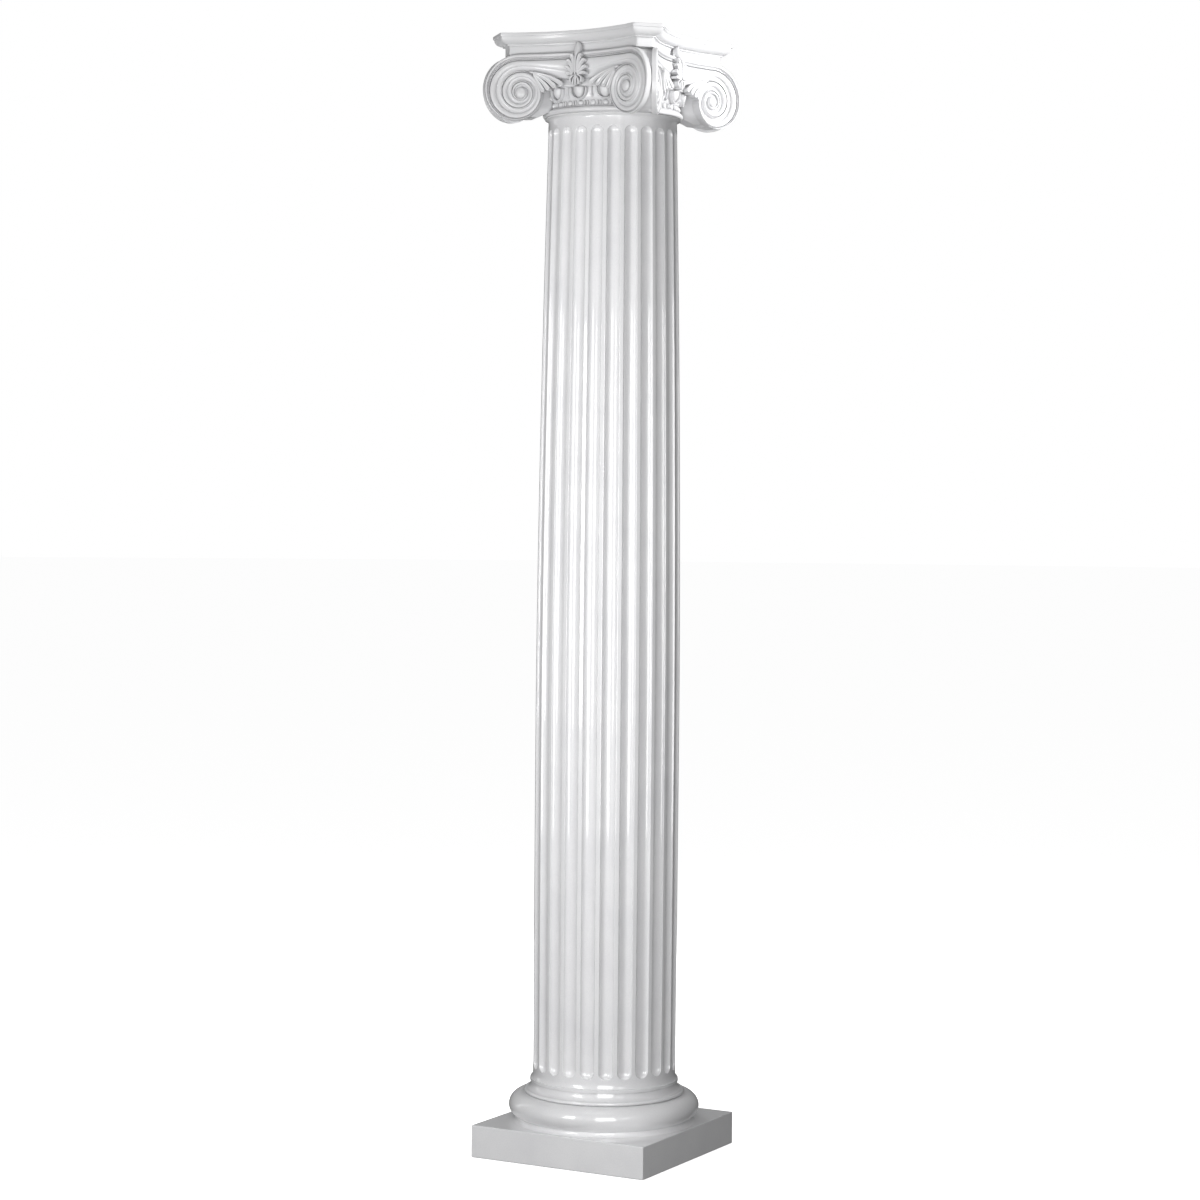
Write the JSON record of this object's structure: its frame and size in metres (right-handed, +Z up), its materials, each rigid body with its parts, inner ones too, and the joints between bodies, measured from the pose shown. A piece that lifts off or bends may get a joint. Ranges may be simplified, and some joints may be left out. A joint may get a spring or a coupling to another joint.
{
  "type": "ionic column",
  "caption": "White cast Ionic column: square plinth with a torus base, swelling fluted shaft, and a capital with diagonal volutes, eggs, palmettes and a concave abacus.",
  "frame": {"origin": "centre of the plinth's underside, on the floor", "axes": "+Z up along the column's axis; the plinth's and the capital's faces look along +X, -X, +Y and -Y"},
  "size_m": [0.425, 0.425, 2.4384],
  "materials": {
    "white_cast": "white gelcoat on cast resin and marble dust, satin to glossy"
  },
  "bodies": {
    "root": {"base": "white_cast", "shaft": "white_cast", "capital": "white_cast"}
  },
  "joints": []
}
